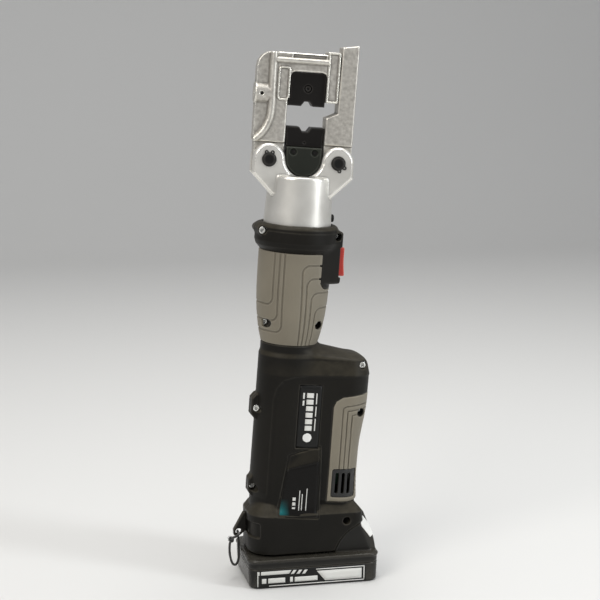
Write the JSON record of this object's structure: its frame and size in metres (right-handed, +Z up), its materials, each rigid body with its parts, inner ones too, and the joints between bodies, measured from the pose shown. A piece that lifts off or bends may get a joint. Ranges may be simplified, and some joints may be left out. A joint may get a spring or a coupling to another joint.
{
  "type": "hydraulic crimping tool",
  "caption": "In-line cordless hydraulic crimping tool standing on its battery, with a turning flip-top die head, swinging frame, latch, ram, soft grip and side trigger",
  "frame": {"origin": "middle of the battery's base, which the tool stands on", "axes": "+Z up, +X along the battery towards the trigger side, -Y towards the near half shell"},
  "size_m": [0.1321, 0.075, 0.4717],
  "materials": {
    "shell_black": "fine grained black nylon",
    "grip_grey": "matt warm grey soft grip",
    "grille_black": "black slatted plastic",
    "plate_black": "smooth black, bare",
    "screw_steel": "zinc plated",
    "head_steel": "satin nickel plated, blasted",
    "forged_steel": "bead blasted casting, bright edges",
    "pin_steel": "ground",
    "black_oxide": "black oxide",
    "ram_steel": "dark phosphated",
    "spring_steel": "drawn wire",
    "bronze": "turned bronze",
    "pump_alloy": "machined",
    "valve_brass": "turned",
    "seal_rubber": "black nitrile",
    "gear_steel": "hobbed",
    "motor_steel": "drawn can",
    "copper": "wound copper on laminations",
    "trigger_red": "moulded red",
    "board_green": "lacquered board",
    "switch_black": "moulded",
    "cord_black": "braided, a little fuzzy",
    "cell_wrap": "sleeved cell"
  },
  "bodies": {
    "handle": {"near_shell": "shell_black", "far_shell": "shell_black", "near_grip": "grip_grey", "far_grip": "grip_grey", "near_pad": "grip_grey", "far_pad": "grip_grey", "vent_grilles": "grille_black", "label_plates": "plate_black", "shell_screws": "screw_steel", "swivel_ring": "bronze", "pump_block": "pump_alloy", "pump_plunger": "pin_steel", "plunger_spring": "spring_steel", "pressure_pipe": "pin_steel", "relief_valve": "valve_brass", "return_valve": "screw_steel", "oil_bladder": "seal_rubber", "gearbox_cover": "pump_alloy", "ring_gear": "gear_steel", "shaft_bearing": "pin_steel", "motor_can": "motor_steel", "motor_bearings": "pin_steel", "trigger_switch": "switch_black", "trigger_spring": "spring_steel", "control_board": "board_green", "terminal_block": "switch_black", "lanyard_lug": "shell_black", "lanyard_cord": "cord_black"},
    "trigger": {"trigger": "trigger_red"},
    "rotor": {"rotor": "copper", "sun_gear": "gear_steel"},
    "carrier": {"planet_carrier": "gear_steel", "eccentric_shaft": "pin_steel", "eccentric_bearing": "pin_steel"},
    "planet_1": {"planet_gear_1": "gear_steel"},
    "planet_2": {"planet_gear_2": "gear_steel"},
    "planet_3": {"planet_gear_3": "gear_steel"},
    "head": {"head_yoke": "head_steel", "frame_pin": "pin_steel", "latch_pin": "pin_steel", "pin_circlips": "black_oxide", "rod_wiper": "seal_rubber", "ram_return_spring": "spring_steel", "stop_screw": "black_oxide", "latch_spring": "spring_steel"},
    "frame": {"swing_frame": "forged_steel", "upper_die": "black_oxide", "die_lock_spring": "spring_steel"},
    "die_lock": {"die_lock_plunger": "pin_steel"},
    "latch": {"latch_arm": "forged_steel"},
    "ram": {"ram": "ram_steel", "ram_seal": "seal_rubber", "lower_die": "black_oxide", "die_dowels": "black_oxide"},
    "battery": {"battery_case": "shell_black", "battery_cover": "shell_black", "battery_cells": "cell_wrap", "battery_terminals": "valve_brass"},
    "battery_button": {"release_button": "switch_black"}
  },
  "joints": [
    {"name": "head_rotate", "type": "hinge", "parent": "handle", "child": "head", "pos_m": [-0.01103, 0, 0.28222], "axis": [0.0741, 0, 0.9973], "range_deg": [-175, 175]},
    {"name": "frame_swing", "type": "hinge", "parent": "head", "child": "frame", "pos_m": [-0.03391, 0.00315, 0.37818], "axis": [-0.1042, -0.9945, 0.0077], "range_deg": [0, 85]},
    {"name": "latch_swing", "type": "hinge", "parent": "head", "child": "latch", "pos_m": [0.02579, -0.00315, 0.37374], "axis": [0.1042, 0.9945, -0.0077], "range_deg": [0, 25], "stiffness_Nm_per_rad": 0.3, "springref_deg": -34.38, "deforming": ["latch_spring"]},
    {"name": "ram_slide", "type": "slide", "parent": "head", "child": "ram", "axis": [0.0741, 0, 0.9973], "range_m": [0, 0.0176], "deforming": ["ram_return_spring"]},
    {"name": "die_lock_slide", "type": "slide", "parent": "frame", "child": "die_lock", "axis": [-0.9918, 0.1045, 0.0737], "range_m": [0, 0.0032], "stiffness_N_per_m": 500, "springref_m": -0.004, "deforming": ["die_lock_spring"]},
    {"name": "trigger_press", "type": "slide", "parent": "handle", "child": "trigger", "axis": [-0.9973, 0, 0.0741], "range_m": [0, 0.0045], "stiffness_N_per_m": 400, "springref_m": -0.004, "deforming": ["trigger_spring"]},
    {"name": "battery_slide", "type": "slide", "parent": "handle", "child": "battery", "axis": [1, 0, 0], "range_m": [0, 0.07]},
    {"name": "battery_button_press", "type": "slide", "parent": "battery", "child": "battery_button", "axis": [-1, 0, 0], "range_m": [0, 0.0025], "stiffness_N_per_m": 400, "springref_m": -0.004},
    {"name": "rotor_spin", "type": "hinge", "parent": "handle", "child": "rotor", "pos_m": [-0.02637, 0, 0.07579], "axis": [0.0741, 0, 0.9973], "continuous": true},
    {"name": "carrier_spin", "type": "hinge", "parent": "handle", "child": "carrier", "pos_m": [-0.02155, 0, 0.14061], "axis": [0.0741, 0, 0.9973], "continuous": true},
    {"name": "planet_1_spin", "type": "hinge", "parent": "carrier", "child": "planet_1", "pos_m": [-0.00958, 0, 0.13972], "axis": [0.0741, 0, 0.9973], "continuous": true},
    {"name": "planet_2_spin", "type": "hinge", "parent": "carrier", "child": "planet_2", "pos_m": [-0.02753, 0.01039, 0.14106], "axis": [0.0741, 0, 0.9973], "continuous": true},
    {"name": "planet_3_spin", "type": "hinge", "parent": "carrier", "child": "planet_3", "pos_m": [-0.02753, -0.01039, 0.14106], "axis": [0.0741, 0, 0.9973], "continuous": true}
  ],
  "couplings": [
    {"joint": "carrier_spin", "follows": "rotor_spin", "ratio": 0.2},
    {"joint": "planet_1_spin", "follows": "rotor_spin", "ratio": -0.53333},
    {"joint": "planet_2_spin", "follows": "rotor_spin", "ratio": -0.53333},
    {"joint": "planet_3_spin", "follows": "rotor_spin", "ratio": -0.53333}
  ]
}
